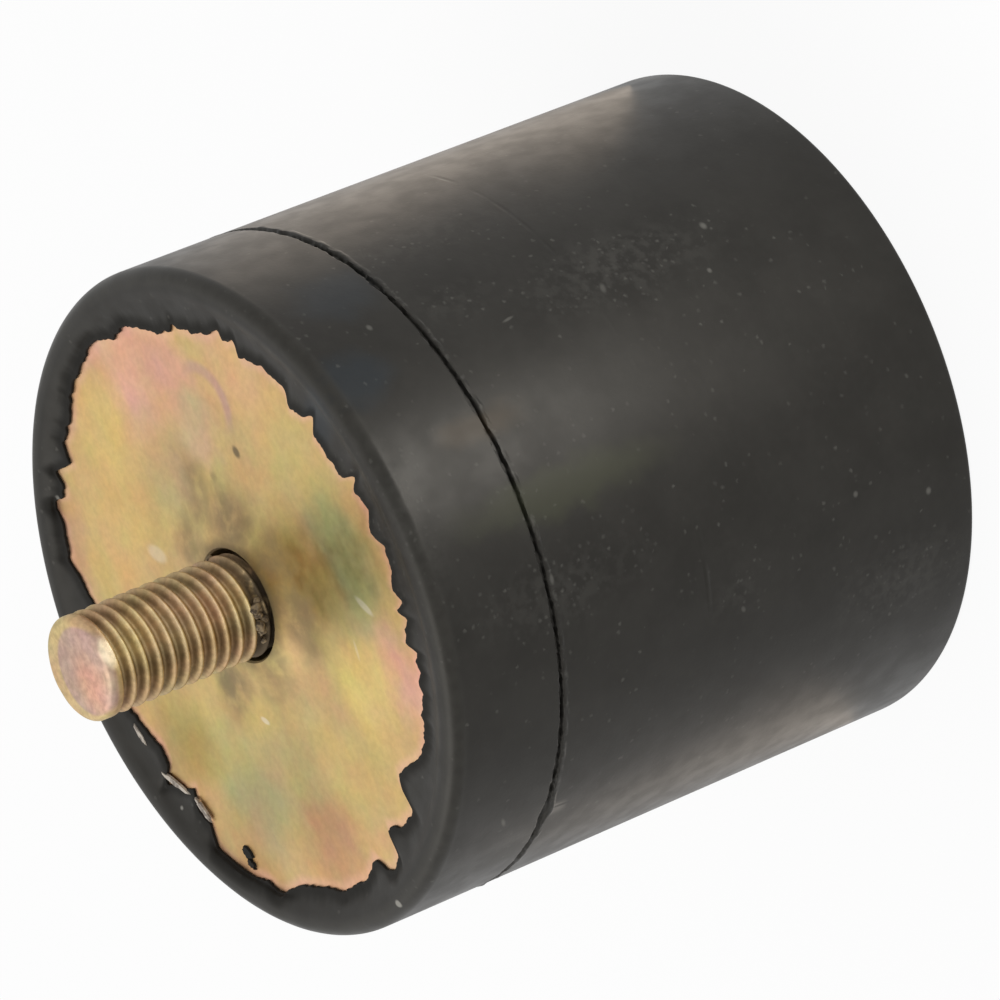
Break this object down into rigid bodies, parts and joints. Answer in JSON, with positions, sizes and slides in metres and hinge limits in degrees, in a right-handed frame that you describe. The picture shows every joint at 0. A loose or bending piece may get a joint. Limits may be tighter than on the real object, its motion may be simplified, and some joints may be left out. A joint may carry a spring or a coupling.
{
  "type": "rubber isolator",
  "caption": "Cylindrical moulded rubber vibration isolator with a bonded steel plate and a threaded stud in one end; the other end is plain.",
  "frame": {"origin": "middle of the plain end of the rubber, which the part stands on", "axes": "+Z along the isolator's axis, from the plain end towards the stud; -Y is the side seen from the front"},
  "size_m": [0.0753, 0.0752, 0.092],
  "materials": {
    "rubber": "moulded black rubber with a dull sheen and fine light dust",
    "plated_steel": "yellow passivated zinc plating on steel, iridescent",
    "plated_thread": "yellow passivated zinc plating on steel, darker in the thread roots"
  },
  "bodies": {
    "root": {"rubber_body": "rubber", "end_plate": "plated_steel", "stud": "plated_thread"}
  },
  "joints": []
}
